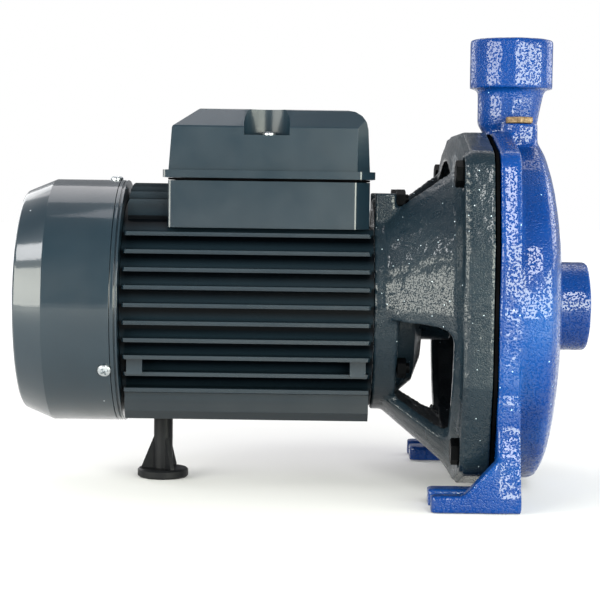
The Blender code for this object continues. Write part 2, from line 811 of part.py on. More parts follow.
def make_suction_port():
    """The middle of the casing's front, with the suction tube on it."""
    back = x_casing + chamber_depth
    profile = [(back, inlet_bore_radius), (back, suction_plate_radius)]
    profile += crown(crown_angle(suction_plate_radius), crown_sweep, 2)
    profile += [(x_front_wall, inlet_radius + 2 * rim_edge), (x_front_wall + rim_edge, inlet_radius),
                (x_inlet_face - rim_edge, inlet_radius), (x_inlet_face, inlet_radius - rim_edge),
                (x_inlet_face, inlet_bore_radius)]
    turned("suction_port", profile, casing_paint, 48)


def swell_sump(casing):
    """Lets the lower half of the front hang forwards and down, as the volute does."""
    for vertex in casing.data.vertices:
        down = Vector((vertex.co.y, vertex.co.z - axis_height))
        wall = x_casing + chamber_depth + rim_edge
        if down.y < 0 and (down.length > chamber_radius + rim_edge or vertex.co.x > wall):
            out = (down.length - suction_plate_radius) / (casing_radius - suction_plate_radius)
            share = max(0, out) * min(1, (vertex.co.x - x_casing) / shoulder_depth)
            vertex.co.x += sump_depth * share * out * -down.y / down.length
            vertex.co.z += sump_drop * share * down.y


def make_casing():
    chamber_front = x_casing + chamber_depth
    eye = suction_plate_radius + joint_gap
    profile = [(x_casing, casing_radius)] + crown(0, crown_angle(eye), 5)
    profile += [(chamber_front, eye), (chamber_front, chamber_radius - chamber_bevel),
                (chamber_front - chamber_bevel, chamber_radius), (x_casing, chamber_radius)]
    casing = turned("pump_casing", profile, casing_paint, 48)
    swell_sump(casing)
    rim_middle = (chamber_radius + casing_radius) / 2
    flange = prism("casing_flange", [at_axis(flange_outline()),
                                     at_axis(circle((0, 0), rim_middle, 48))],
                   "YZ", x_casing + face_step / 2, x_casing + casing_flange_thickness)
    join(casing, flange)
    boss_x = x_casing + plug_offset_x
    boss_top = axis_height + casing_radius + plug_boss_height
    boss_root = axis_height + chamber_radius
    join(casing, rod("plug_boss", plug_boss_radius, (boss_x, -plug_offset_y, boss_root),
                     (boss_x, -plug_offset_y, boss_top), sides=20))
    rod("priming_plug", plug_radius, (boss_x, -plug_offset_y, boss_top + joint_gap),
        (boss_x, -plug_offset_y, boss_top + plug_height), plug_brass, 6)
    make_discharge(casing)
    bolt_holes(casing, x_casing - face_step, x_casing + casing_flange_thickness + face_step)


def lean_neck(neck, root, collar_bottom):
    """Bows the neck towards the motor, but never over the gasket."""
    for vertex in neck.data.vertices:
        fall = max(0, collar_bottom - vertex.co.z) / (collar_bottom - root)
        vertex.co.x -= neck_lean * math.sin(math.pi * fall)
        if vertex.co.z < axis_height + flange_half:
            vertex.co.x = max(vertex.co.x, x_casing + face_step)


def make_discharge(casing):
    """A seat on the casing, and the neck with its threaded collar on top."""
    crest = axis_height + casing_radius
    top = crest + outlet_height
    collar_bottom = top - collar_height
    root = axis_height + (chamber_radius + casing_radius) / 2
    seam = crest + plug_boss_height + joint_gap
    middle = (x_outlet, 0)
    seat = upright_turned("outlet_seat", [(seam, 0), (seam, neck_radius), (crest, outlet_offset),
                                          (root, outlet_offset - joint_gap), (root, 0)], middle, 36)
    lean_neck(seat, root, collar_bottom)
    join(casing, seat)
    neck_top = neck_radius + neck_flare
    start = seam + joint_gap
    outer = [(start, neck_radius), (collar_bottom, neck_top),
             (collar_bottom + rim_edge / 2, collar_radius),
             (top - rim_edge, collar_radius), (top, collar_radius - rim_edge)]
    port = upright_turned("discharge_port", [(top, 0)] + outer[::-1] + [(start, 0)], middle, 36,
                          casing_paint)
    lean_neck(port, root, collar_bottom)
    passage_end = axis_height + chamber_radius - chamber_bevel
    discharge = [(top + rim_edge, 0), (top + rim_edge, thread_bore_radius),
                 (top - thread_depth, thread_bore_radius),
                 (top - thread_depth - 2 * rim_edge, outlet_bore_radius),
                 (passage_end, outlet_bore_radius), (passage_end, 0)]
    bore = upright_turned("outlet_bore", discharge, middle, 28)
    cut(casing, bore)
    cut(port, bore)


def make_foot(name, side):
    """A slotted sole with a leg up to the flange and a web behind it."""
    front = x_casing + casing_flange_thickness + foot_front_reach
    toe = front - foot_length
    slot_outer = side * (foot_outer - foot_slot_edge)
    slot_inner = side * (foot_outer - foot_slot_edge - foot_slot_width)
    inner = side * foot_inner
    outer = side * foot_outer
    slot_end = toe + foot_slot_depth
    sole = [(front, inner, foot_round), (front, outer, foot_round), (toe, outer, foot_round),
            (toe, slot_outer, foot_round / 2), (slot_end, slot_outer, foot_slot_width / 3),
            (slot_end, slot_inner, foot_slot_width / 3), (toe, slot_inner, foot_round / 2),
            (toe, inner, foot_round)]
    foot = prism(name, [rounded(sole, 3)], "XY", 0, foot_thickness, casing_paint)
    flange_side = side * flange_half
    slant = ear_slope(flange_half, ear_radius)
    leg_top = axis_height - rim_flat - foot_leg_tip
    seam = [(side * y, z) for y, z in
            arc((bolt_offset, -bolt_offset), ear_radius + joint_gap, slant, -90 - slant, 5)]
    seam_end = seam[-1][1] + (side * seam[-1][0] - foot_inner) * math.tan(math.radians(slant))
    tip = side * (flange_half - foot_leg_edge)
    outline = [(outer, foot_thickness / 2), (outer, foot_thickness),
               (flange_side, foot_leg_shoulder), (flange_side, leg_top), (tip, leg_top)]
    outline += at_axis(seam + [(inner, seam_end)]) + [(inner, foot_thickness / 2)]
    leg = prism(name + "_leg", [outline], "YZ", x_casing, front - face_step)
    web_foot = x_casing - foot_web_run
    web = prism(name + "_web", [[(x_casing + face_step, foot_thickness / 2),
                                 (x_casing + face_step, foot_thickness + foot_web_rise),
                                 (x_casing - face_step, foot_thickness + foot_web_rise),
                                 (web_foot, foot_thickness), (web_foot, foot_thickness / 2)]],
                "XZ", min(outer, slot_outer), max(outer, slot_outer))
    join(foot, leg, web)
    return foot


def make_impeller():
    front = x_impeller + impeller_width
    back_disc = x_impeller + impeller_shroud
    disc = [(x_impeller, shaft_clearance), (x_impeller, impeller_radius),
            (back_disc, impeller_radius), (back_disc, impeller_hub_radius + shaft_radius / 2),
            (back_disc + shaft_radius / 2, impeller_hub_radius),
            (front, impeller_hub_radius - impeller_shroud), (front, shaft_clearance)]
    impeller = turned("impeller", disc[::-1], impeller_brass, 32)
    rim_front = front - shroud_slope * impeller_shroud
    shroud = turned("impeller_front",
                    [(front - impeller_shroud, eye_radius - impeller_shroud),
                     (front + eye_length, eye_radius - impeller_shroud),
                     (front + eye_length, eye_radius), (front, eye_radius),
                     (rim_front, impeller_radius), (rim_front - impeller_shroud, impeller_radius)],
                    None, 32)
    join(impeller, shroud)
    vane_radius = impeller_radius * vane_bend
    vane_centre = (impeller_radius * vane_bend_along, impeller_radius * vane_bend_across)
    vane_end = vane_start - vane_sweep
    for i in range(impeller_vanes):
        vane = (arc(vane_centre, vane_radius, vane_start, vane_end, 6)
                + arc(vane_centre, vane_radius - vane_thickness, vane_end, vane_start, 6))
        turn = Matrix.Rotation(2 * math.pi * i / impeller_vanes, 2)
        points = [tuple(turn @ Vector(point)) for point in vane]
        join(impeller, prism("vane", [at_axis(points)], "YZ", x_impeller + impeller_shroud / 2,
                             rim_front - impeller_shroud / 2))
    nut_start = front + joint_gap
    rod("impeller_nut", shaft_radius, (nut_start, 0, axis_height),
        (nut_start + impeller_nut_length, 0, axis_height), bright_steel, 6)
    ring_end = x_casing + chamber_depth - joint_gap
    ring_start = ring_end - wear_ring_length
    bore = eye_radius + joint_gap
    turned("wear_ring", [(ring_start, bore), (ring_start, bore + wear_ring_width),
                         (ring_end, bore + wear_ring_width), (ring_end, bore)][::-1],
           impeller_brass, 32)


def make_shaft():
    start = x_fan - shaft_radius / 2
    end = x_impeller + impeller_width - joint_gap
    rod("motor_shaft", shaft_radius, (start, 0, axis_height), (end, 0, axis_height),
        bright_steel, 24)
    hub_end = x_bracket + face_step + hub_length
    slinger_start = hub_end + slinger_back
    slinger_end = slinger_start + slinger_width
    turned("water_slinger", [(slinger_start, shaft_clearance), (slinger_start, slinger_radius),
                             (slinger_end, slinger_radius), (slinger_end, shaft_clearance)][::-1],
           seal_rubber, 24)


def make_leg():
    x = x_housing + leg_position
    top = axis_height - base_drop - joint_gap
    edge = rim_edge
    disc = [(0, 0), (0, leg_disc_radius - edge), (edge, leg_disc_radius),
            (leg_disc_height - edge, leg_disc_radius), (leg_disc_height, leg_disc_radius - edge),
            (leg_disc_height, 0)]
    leg = upright_turned("support_leg", disc[::-1], (x, 0), 32, black_plastic)
    column = rod("leg_column", leg_column_radius, (x, 0, leg_disc_height / 2), (x, 0, top),
                 sides=20)
    join(leg, column)
    root = leg_column_radius - leg_rib
    toe = leg_disc_radius - leg_rib
    crest = top * leg_gusset_crest
    for angle in (180, -60, 60):
        gusset = prism("leg_gusset", [[(root, leg_disc_height / 2), (toe, leg_disc_height / 2),
                                       (toe, leg_disc_height + edge), (leg_column_radius, crest),
                                       (root, crest)]], "XZ", -leg_rib / 2, leg_rib / 2)
        turn = Matrix.Rotation(math.radians(angle), 4, "Z")
        gusset.data.transform(Matrix.Translation((x, 0, 0)) @ turn)
        join(leg, gusset)


make_fan_cover()
make_fan()
make_rear_shield()
make_housing()
make_terminal_box()
make_bracket()
make_bearing_housing()
make_seal()
make_gasket()
make_casing()
make_suction_port()
make_foot("near_foot", -1)
make_foot("far_foot", 1)
make_impeller()
make_shaft()
make_leg()
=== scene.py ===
import json
import math

import bpy
from mathutils import Matrix, Vector


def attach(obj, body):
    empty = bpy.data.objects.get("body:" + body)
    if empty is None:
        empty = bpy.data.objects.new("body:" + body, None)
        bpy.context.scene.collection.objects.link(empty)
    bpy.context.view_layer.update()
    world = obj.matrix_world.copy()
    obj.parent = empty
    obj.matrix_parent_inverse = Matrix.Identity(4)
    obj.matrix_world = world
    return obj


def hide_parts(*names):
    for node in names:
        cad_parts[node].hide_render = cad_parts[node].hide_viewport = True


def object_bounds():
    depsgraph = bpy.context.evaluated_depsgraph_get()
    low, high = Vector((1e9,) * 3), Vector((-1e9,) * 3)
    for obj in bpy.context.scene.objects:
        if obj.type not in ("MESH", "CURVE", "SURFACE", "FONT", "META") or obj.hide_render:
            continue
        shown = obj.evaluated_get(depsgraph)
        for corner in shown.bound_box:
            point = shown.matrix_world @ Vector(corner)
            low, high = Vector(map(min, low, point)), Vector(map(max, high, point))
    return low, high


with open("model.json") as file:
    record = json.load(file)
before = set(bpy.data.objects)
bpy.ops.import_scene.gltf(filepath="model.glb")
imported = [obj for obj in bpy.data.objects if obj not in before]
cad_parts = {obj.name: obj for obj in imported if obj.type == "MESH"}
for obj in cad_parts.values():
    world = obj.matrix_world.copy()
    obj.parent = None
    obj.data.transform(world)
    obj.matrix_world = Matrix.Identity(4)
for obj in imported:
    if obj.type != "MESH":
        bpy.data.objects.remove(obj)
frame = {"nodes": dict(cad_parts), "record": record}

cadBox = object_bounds()   # the CAD model's own box, before anything is added
mm = 0.001

photo = {
    "pixels": 600,
    "focal": 1750.0,        # in pixels, fitted to the outlines
    "scale": 0.59 * mm,     # metres a pixel at the shaft's plane
    "horizon": 190.0,       # row of the camera's own height
    "roll": 0.8,            # degrees
    "aimRows": 2.3,         # rows between the shaft and the middle of the picture
    "side": -4.0 * mm,
    "sensor": 36,           # mm
}
axis = 0.1044              # height of the shaft above the floor


def addCamera():
    distance = photo["focal"] * photo["scale"]
    pitch = math.atan((photo["pixels"] / 2 - photo["horizon"]) / photo["focal"])
    lens = bpy.data.cameras.new("camera")
    lens.sensor_width = photo["sensor"]
    lens.lens = photo["focal"] / photo["pixels"] * lens.sensor_width
    camera = bpy.data.objects.new("camera", lens)
    bpy.context.scene.collection.objects.link(camera)
    aim = axis + photo["aimRows"] * photo["scale"]
    height = aim + distance * math.sin(pitch)
    place = Matrix.Translation((photo["side"], -distance * math.cos(pitch), height))
    turn = Matrix.Rotation(math.pi / 2 - pitch, 4, "X")
    camera.matrix_world = place @ turn @ Matrix.Rotation(math.radians(photo["roll"]), 4, "Z")
    bpy.context.scene.camera = camera


studio = {
    "roomStrength": 0.34,             # what lights the pump from all round
    "roomColour": (0.93, 0.96, 1.0),
    "paperStrength": 1.0,             # the white seen behind it
    "floorSize": 14.0,
    "floorDrop": 0.3 * mm,            # keeps the floor clear of the soles
    "floorColour": (0.72, 0.72, 0.72),
    "floorRoughness": 0.7,
    "floorShine": 0.2,
    "nearGlow": 0.10,                 # the floor's own light under the pump
    "farGlow": 0.95,                  # and far behind it, where no lamp reaches
    "glowFrom": 0.45,                 # metres from the pump
    "glowTo": 2.6,
}
softBoxes = {   # azimuth right of the camera, elevation, distance, width, height, radiance, colour
    "leftBox": (-52, 10, 1.35, 1.30, 0.64, 11.0, (1.0, 1.0, 0.90)),
    "rightBox": (27.5, 6, 1.35, 0.84, 0.46, 15.0, (0.97, 1.0, 0.86)),
    "farRightBox": (65, 6, 1.35, 0.92, 0.46, 14.0, (0.97, 1.0, 0.86)),
    "portWindow": (15, 28, 1.35, 0.30, 0.46, 16.0, (1.0, 1.0, 0.98)),
    "chamferWindow": (-71, 33, 1.35, 0.40, 0.22, 15.0, (1.0, 1.0, 1.0)),
    "lidBox": (-105, 83, 1.35, 0.35, 0.24, 3.0, (1.0, 0.97, 1.0)),
    "ceilingBox": (180, 57, 1.40, 1.70, 0.85, 2.1, (1.0, 0.97, 0.98)),
    "backLeftBox": (-140, 20, 1.6, 0.8, 0.8, 3.0, (1.0, 1.0, 1.0)),
    "backRightBox": (125, 20, 1.6, 0.8, 0.8, 3.0, (1.0, 1.0, 1.0)),
}


def addSoftBox(name, azimuth, elevation, distance, width, height, radiance, colour):
    around = math.radians(azimuth)
    up = math.radians(elevation)
    aim = Vector((0, 0, axis))
    place = aim + distance * Vector((math.sin(around) * math.cos(up),
                                     -math.cos(around) * math.cos(up), math.sin(up)))
    lamp = bpy.data.lights.new(name, "AREA")
    lamp.shape = "RECTANGLE"
    lamp.size = width
    lamp.size_y = height
    lamp.energy = radiance * math.pi * width * height
    lamp.color = colour
    box = bpy.data.objects.new(name, lamp)
    box.location = place
    box.rotation_euler = (aim - place).to_track_quat("-Z", "Y").to_euler()
    box.visible_camera = False
    bpy.context.scene.collection.objects.link(box)


def addRoom():
    room = bpy.data.worlds.new("room")
    room.use_nodes = True
    tree = room.node_tree
    light = tree.nodes["Background"]
    light.inputs["Color"].default_value = (*studio["roomColour"], 1)
    light.inputs["Strength"].default_value = studio["roomStrength"]
    paper = tree.nodes.new("ShaderNodeBackground")
    paper.inputs["Color"].default_value = (1, 1, 1, 1)
    paper.inputs["Strength"].default_value = studio["paperStrength"]
    rays = tree.nodes.new("ShaderNodeLightPath")
    either = tree.nodes.new("ShaderNodeMixShader")
    tree.links.new(rays.outputs["Is Camera Ray"], either.inputs[0])
    tree.links.new(light.outputs[0], either.inputs[1])
    tree.links.new(paper.outputs[0], either.inputs[2])
    tree.links.new(either.outputs[0], tree.nodes["World Output"].inputs["Surface"])
    bpy.context.scene.world = room


def addFloor():
    bpy.ops.object.select_all(action="DESELECT")
    bpy.ops.mesh.primitive_plane_add(size=studio["floorSize"],
                                     location=(0, 0, -studio["floorDrop"]))
    floor = bpy.context.object
    floor.name = "floor"
    bpy.ops.object.transform_apply(location=True, rotation=True, scale=True)
    paint, shader = newMaterial("floorPaper", studio["floorColour"], studio["floorRoughness"],
                                shine=studio["floorShine"])
    shader.inputs["Emission Color"].default_value = (1, 1, 1, 1)
    kit = paintKit(paint)
    away = kit.add("ShaderNodeVectorMath", operation="LENGTH")
    kit.link(kit.place, away.inputs[0])
    glow = kit.range(away.outputs["Value"], studio["glowFrom"], studio["glowTo"],
                     studio["nearGlow"], studio["farGlow"])
    kit.link(glow, shader.inputs["Emission Strength"])
    floor.data.materials.append(paint)


def newMaterial(name, colour, roughness, metallic=0.0, coat=0.0, coatRoughness=0.1, shine=0.5):
    material = bpy.data.materials.new(name)
    material.use_nodes = True
    shader = material.node_tree.nodes["Principled BSDF"]
    shader.inputs["Base Color"].default_value = (*colour, 1)
    shader.inputs["Roughness"].default_value = roughness
    shader.inputs["Metallic"].default_value = metallic
    shader.inputs["Coat Weight"].default_value = coat
    shader.inputs["Coat Roughness"].default_value = coatRoughness
    shader.inputs["Specular IOR Level"].default_value = shine
    return material, shader


def newPaint(name, finish):
    return newMaterial(name, finish["colour"], finish["roughness"], coat=finish["coat"],
                       coatRoughness=finish["coatRoughness"], shine=finish["shine"])


pimples = {"detail": 0.5, "foot": 0.16, "rim": 0.88}     # of the noise, and of a pimple's height
speckEdge = {"size": 0.7, "share": 0.9}                   # where a speck's fading ends


class paintKit:   # short names for the nodes that every finish here is made from

    def __init__(self, material):
        self.tree = material.node_tree
        self.place = self.add("ShaderNodeTexCoord").outputs["Object"]

    def add(self, kind, **values):
        node = self.tree.nodes.new(kind)
        for key, value in values.items():
            setattr(node, key, value)
        return node

    def link(self, a, b):
        self.tree.links.new(a, b)

    def noise(self, scale, detail):
        node = self.add("ShaderNodeTexNoise")
        node.inputs["Scale"].default_value = scale
        node.inputs["Detail"].default_value = detail
        self.link(self.place, node.inputs["Vector"])
        return node.outputs["Fac"]

    def range(self, value, low, high, start=0.0, end=1.0):
        node = self.add("ShaderNodeMapRange")
        node.inputs["From Min"].default_value = low
        node.inputs["From Max"].default_value = high
        node.inputs["To Min"].default_value = start
        node.inputs["To Max"].default_value = end
        self.link(value, node.inputs["Value"])
        return node.outputs["Result"]

    def maths(self, operation, a, b):
        node = self.add("ShaderNodeMath", operation=operation)
        for i, value in enumerate((a, b)):
            if isinstance(value, (int, float)):
                node.inputs[i].default_value = value
            else:
                self.link(value, node.inputs[i])
        return node.outputs[0]

    def mix(self, factor, a, b):
        node = self.add("ShaderNodeMix", data_type="RGBA")
        self.link(factor, node.inputs["Factor"])
        for socket, value in ((node.inputs[6], a), (node.inputs[7], b)):
            if isinstance(value, tuple):
                socket.default_value = (*value, 1)
            else:
                self.link(value, socket)
        return node.outputs[2]

    def bump(self, height, strength, distance, under=None):
        node = self.add("ShaderNodeBump")
        node.inputs["Strength"].default_value = strength
        node.inputs["Distance"].default_value = distance
        self.link(height, node.inputs["Height"])
        if under is not None:
            self.link(under, node.inputs["Normal"])
        return node.outputs["Normal"]

    def patches(self, scale, detail, low, high, start=0.0, end=1.0):
        return self.range(self.noise(scale, detail), low, high, start, end)

    def relief(self, scale, detail, strength, depth, under=None):
        return self.bump(self.noise(scale, detail), strength, depth, under)

    def skin(self, shader, normal):   # one relief for the paint and for its clear coat
        self.link(normal, shader.inputs["Normal"])
        self.link(normal, shader.inputs["Coat Normal"])

    def grain(self, shader, finish, under):   # pimples whose flat tops mirror the lamps
        tops = self.patches(finish["grain"], pimples["detail"], pimples["foot"], finish["topsFrom"])
        coat = self.range(tops, pimples["rim"], 1.0, finish["dullCoat"], finish["topCoat"])
        self.link(coat, shader.inputs["Coat Weight"])
        self.skin(shader, self.bump(tops, 1.0, finish["grainDepth"], under))

    def specks(self, scale, size, share):   # 1 on small dots in some of the cells
        cell = self.add("ShaderNodeTexVoronoi")
        cell.inputs["Scale"].default_value = scale
        self.link(self.place, cell.inputs["Vector"])
        dot = self.range(cell.outputs["Distance"], size, size * speckEdge["size"])
        chosen = self.add("ShaderNodeSeparateColor")
        self.link(cell.outputs["Color"], chosen.inputs["Color"])
        some = self.range(chosen.outputs["Red"], share, share * speckEdge["share"])
        return self.maths("MULTIPLY", dot, some)

    def part(self, name):   # X, Y or Z of the place
        parts = self.add("ShaderNodeSeparateXYZ")
        self.link(self.place, parts.inputs[0])
        return parts.outputs[name]

    def fromLine(self, first, a, second, b):   # distance from where first is a and second is b
        one = self.maths("SUBTRACT", self.part(first), a)
        other = self.maths("SUBTRACT", self.part(second), b)
        squares = self.maths("ADD", self.maths("MULTIPLY", one, one),
                             self.maths("MULTIPLY", other, other))
        return self.maths("SQRT", squares, 0.0)


motorFinish = {
    "colour": (0.0055, 0.0138, 0.0215),
    "worn": (0.0072, 0.0168, 0.0255),
    "dustAndGlints": (0.30, 0.33, 0.36),
    "roughness": 0.3,
    "coat": 0.65,
    "coatRoughness": 0.07,
    "shine": 0.25,
    "clouds": (28, 3.0, 0.35, 0.7),             # size, detail, from, to
    "gloss": (60, 3.0, 0.3, 0.7, 0.28, 0.4),    # the same and the roughness at both ends
    "specks": (140, 0.08, 0.03),                # cells a metre, size, share of the cells
    "peel": (900, 1.0, 0.08, 0.2 * mm),         # size, detail, strength, depth
    "waves": (45, 1.0, 0.22, 0.6 * mm),
}
# painted shade between the fins: darkest at their roots and under each fin, lighter just above each
# fin
finShading = {
    "roots": (61.0 * mm, 72.5 * mm),      # from the shaft: the painted shade is darkest at the fins' roots
    # painted shadow in the upper part of each gap, under the fin above
    "gapShadow": (0.0006, 0.0012, 0.002),
    # less clear coat and shine at the roots: painted shade, so they mirror no lamps
    "rootCoat": 0.05,
    "rootShine": 0.03,
    "gapFloor": (0.005, 0.010, 0.0145),   # the lower part of each gap gets more light
    "gapFade": (0.25, 0.62),              # of the pitch, above a fin's middle
    "top": axis + 40.8 * mm,
    "pitch": 9.8 * mm,
    "underColour": (0.0028, 0.0070, 0.0110),
    "underBand": (50.0 * mm, 56.0 * mm),     # above the floor: below this the base plate is darker and duller
    "underCoat": 0.55,
}
# painted shade in the lid's screw recess
recessShade = {
    "centre": (-22.6 * mm, -41.5 * mm),   # of the screw's recess in the lid
    "fade": (12.0 * mm, 14.5 * mm),
    "coat": 0.14,                         # less clear coat there: painted shade, so its walls mirror no lamps
}


def makeMotorPaint(name, finned=False, shadedRecess=False):
    finish = motorFinish
    material, shader = newPaint(name, finish)
    kit = paintKit(material)
    colour = kit.mix(kit.patches(*finish["clouds"]), finish["colour"], finish["worn"])
    # pale specks: dust, and partly painted glints
    colour = kit.mix(kit.specks(*finish["specks"]), colour, finish["dustAndGlints"])
    if finned:
        colour = shadeFins(kit, shader, colour)
    if shadedRecess:
        # painted shade: less clear coat in the lid's recess
        x, y = recessShade["centre"]
        away = kit.fromLine("X", x, "Y", y)
        coat = kit.range(away, *recessShade["fade"], recessShade["coat"], finish["coat"])
        kit.link(coat, shader.inputs["Coat Weight"])
    kit.link(colour, shader.inputs["Base Color"])
    kit.link(kit.patches(*finish["gloss"]), shader.inputs["Roughness"])
    kit.skin(shader, kit.relief(*finish["waves"], kit.relief(*finish["peel"])))
    return material


# painted shade in the gaps between the fins: darkest at the roots, the lower part of each gap
# painted lighter
def shadeFins(kit, shader, colour):
    unshaded = kit.range(kit.fromLine("Y", 0.0, "Z", axis), *finShading["roots"])
    height = kit.maths("SUBTRACT", kit.part("Z"), finShading["top"])
    above = kit.maths("FRACT", kit.maths("DIVIDE", height, finShading["pitch"]), 0.0)
    hidden = kit.range(above, *finShading["gapFade"])
    shade = kit.mix(hidden, finShading["gapFloor"], finShading["gapShadow"])
    colour = kit.mix(unshaded, shade, colour)
    # darker and duller towards the floor
    plate = kit.range(kit.part("Z"), *finShading["underBand"])
    colour = kit.mix(plate, finShading["underColour"], colour)
    # painted shade: less clear coat and shine towards the fins' roots
    coat = kit.range(unshaded, 0.0, 1.0, finShading["rootCoat"], motorFinish["coat"])
    plateCoat = kit.range(plate, 0.0, 1.0, finShading["underCoat"], 1.0)
    kit.link(kit.maths("MULTIPLY", coat, plateCoat), shader.inputs["Coat Weight"])
    shine = kit.range(unshaded, 0.0, 1.0, finShading["rootShine"], motorFinish["shine"])
    kit.link(shine, shader.inputs["Specular IOR Level"])
    return colour


bracketFinish = {
    "colour": (0.0050, 0.0110, 0.0170),     # this, roughness and coat: where the nodes aren't read
    "roughness": 0.4,
    "coat": 0.72,
    "coatRoughness": 0.05,
    "shine": 0.05,                          # of the paint itself, under the clear coat
    "dark": (0.0050, 0.0110, 0.0170),
    "light": (0.0080, 0.0155, 0.0220),
    "dustAndGlints": (0.50, 0.60, 0.66),
    "clouds": (35, 3.0, 0.35, 0.7),
    "gloss": (90, 2.0, 0.3, 0.7, 0.25, 0.38),
    "specks": (340, 0.12, 0.16),
    "skin": (170, 2.0, 0.42, 0.9 * mm),
    "grain": 1350,                          # pimples a metre
    "grainDepth": 0.15 * mm,
    "topsFrom": 0.50,                       # of the noise: lower means wider flat tops
    "dullCoat": 0.22,                       # clear coat between the pimples
    "topCoat": 0.62,                        # and on their tops
}
casingFinish = {
    "colour": (0.0018, 0.032, 0.160),
    "roughness": 0.4,
    "coat": 0.6,
    "coatRoughness": 0.03,
    "shine": 0.05,
    "dark": (0.0012, 0.023, 0.128),
    "light": (0.0018, 0.032, 0.160),
    "worn": (0.004, 0.054, 0.21),
    "wornPatches": (14, 2.0, 0.55, 0.8),
    "dustAndGlints": (0.45, 0.70, 0.92),
    "clouds": (30, 3.0, 0.35, 0.7),
    "gloss": (80, 2.0, 0.3, 0.7, 0.22, 0.34),
    "specks": (300, 0.12, 0.07),
    "skin": (140, 2.0, 0.25, 1.1 * mm),
    "grain": 900,
    "grainDepth": 0.22 * mm,
    "topsFrom": 0.51,
    "dullCoat": 0.12,
    "topCoat": 0.85,
}


def makeCastPaint(name, finish):
    material, shader = newPaint(name, finish)
    kit = paintKit(material)
    colour = kit.mix(kit.patches(*finish["clouds"]), finish["dark"], finish["light"])
    if "worn" in finish:
        colour = kit.mix(kit.patches(*finish["wornPatches"]), colour, finish["worn"])
    # pale specks: dust, and partly painted glints
    colour = kit.mix(kit.specks(*finish["specks"]), colour, finish["dustAndGlints"])
    kit.link(colour, shader.inputs["Base Color"])
    kit.link(kit.patches(*finish["gloss"]), shader.inputs["Roughness"])
    kit.grain(shader, finish, kit.relief(*finish["skin"]))
    return material


metalLook = {
    "clouds": (4.0, 0.35, 0.7),         # detail, from, to
    "gloss": (3.0, 0.3, 0.7),
    "glossSize": 3,                     # times the size of the clouds
    "glossSpread": (0.8, 1.4),          # times the roughness
    "reliefSize": 8,
    "relief": (2.0, 0.2, 0.1 * mm),     # detail, strength, depth
}
metals = {   # name: colour, darker colour, roughness, clouds a metre
    "brightSteel": ((0.62, 0.63, 0.64), (0.45, 0.46, 0.48), 0.26, 120),
    "plugBrass": ((0.21, 0.15, 0.092), (0.14, 0.095, 0.055), 0.62, 260),
    "impellerBrass": ((0.62, 0.44, 0.22), (0.42, 0.29, 0.14), 0.42, 90),
    "zinc": ((0.55, 0.58, 0.60), (0.40, 0.43, 0.46), 0.3, 300),
}


def makeMetal(name):
    colour, dark, roughness, size = metals[name]
    material, shader = newMaterial(name, colour, roughness, metallic=1.0)
    kit = paintKit(material)
    clouds = kit.patches(size, *metalLook["clouds"])
    kit.link(kit.mix(clouds, colour, dark), shader.inputs["Base Color"])
    spread = [roughness * share for share in metalLook["glossSpread"]]
    gloss = kit.patches(size * metalLook["glossSize"], *metalLook["gloss"], *spread)
    kit.link(gloss, shader.inputs["Roughness"])
    relief = kit.relief(size * metalLook["reliefSize"], *metalLook["relief"])
    kit.link(relief, shader.inputs["Normal"])
    return material


dullLook = {
    "clouds": (3.0, 0.35, 0.7),
    "cloudSize": 0.1,                   # times the size of the relief
    "gloss": (2.0, 0.3, 0.7),
    "glossSize": 0.3,
    "glossSpread": (0.85, 1.2),
    "reliefDetail": 2.0,
    "reliefDepth": 0.2 * mm,
}
dulls = {   # name: colour, lighter colour, roughness, relief's size and strength, shine
    "blackPlastic": ((0.0035, 0.004, 0.005), (0.006, 0.0066, 0.008), 0.45, 700, 0.25, 0.14),
    "sealRubber": ((0.0012, 0.0012, 0.0014), (0.0026, 0.0026, 0.003), 0.7, 600, 0.3, 0.0),
    "blackSteel": ((0.0012, 0.0014, 0.0018), (0.0028, 0.0031, 0.0036), 0.24, 500, 0.2, 0.02),
}


def makeDull(name):
    colour, light, roughness, size, strength, shine = dulls[name]
    material, shader = newMaterial(name, colour, roughness, shine=shine)
    kit = paintKit(material)
    clouds = kit.patches(size * dullLook["cloudSize"], *dullLook["clouds"])
    kit.link(kit.mix(clouds, colour, light), shader.inputs["Base Color"])
    spread = [roughness * share for share in dullLook["glossSpread"]]
    gloss = kit.patches(size * dullLook["glossSize"], *dullLook["gloss"], *spread)
    kit.link(gloss, shader.inputs["Roughness"])
    relief = kit.relief(size, dullLook["reliefDetail"], strength, dullLook["reliefDepth"])
    kit.link(relief, shader.inputs["Normal"])
    return material


addCamera()
addRoom()
addFloor()
for boxName, values in softBoxes.items():
    addSoftBox(boxName, *values)
bpy.context.scene.view_settings.view_transform = "Standard"
print("camera, light and floor are in place")

finishes = {
    "motor_paint": makeMotorPaint("motorPaint"),
    "bracket_paint": makeCastPaint("bracketPaint", bracketFinish),
    "casing_paint": makeCastPaint("casingPaint", casingFinish),
    "black_plastic": makeDull("blackPlastic"),
    "seal_rubber": makeDull("sealRubber"),
    "bright_steel": makeMetal("brightSteel"),
    "plug_brass": makeMetal("plugBrass"),
    "impeller_brass": makeMetal("impellerBrass"),
}
finPaint = makeMotorPaint("finPaint", finned=True)
lidPaint = makeMotorPaint("lidPaint", shadedRecess=True)
zinc = makeMetal("zinc")
blackSteel = makeDull("blackSteel")
slots = {row["node"]: row["material_slot"] for row in frame["record"]["subparts"]}
for nodeName, node in frame["nodes"].items():
    node.data.materials.clear()
    node.data.materials.append(finishes[slots[nodeName]])
print("finishes are made")


def selectOnly(piece):
    bpy.ops.object.select_all(action="DESELECT")
    piece.select_set(True)
    bpy.context.view_layer.objects.active = piece


def applyModifier(piece, kind, **values):
    change = piece.modifiers.new(kind.lower(), kind)
    for key, value in values.items():
        setattr(change, key, value)
    selectOnly(piece)
    bpy.ops.object.modifier_apply(modifier=change.name)


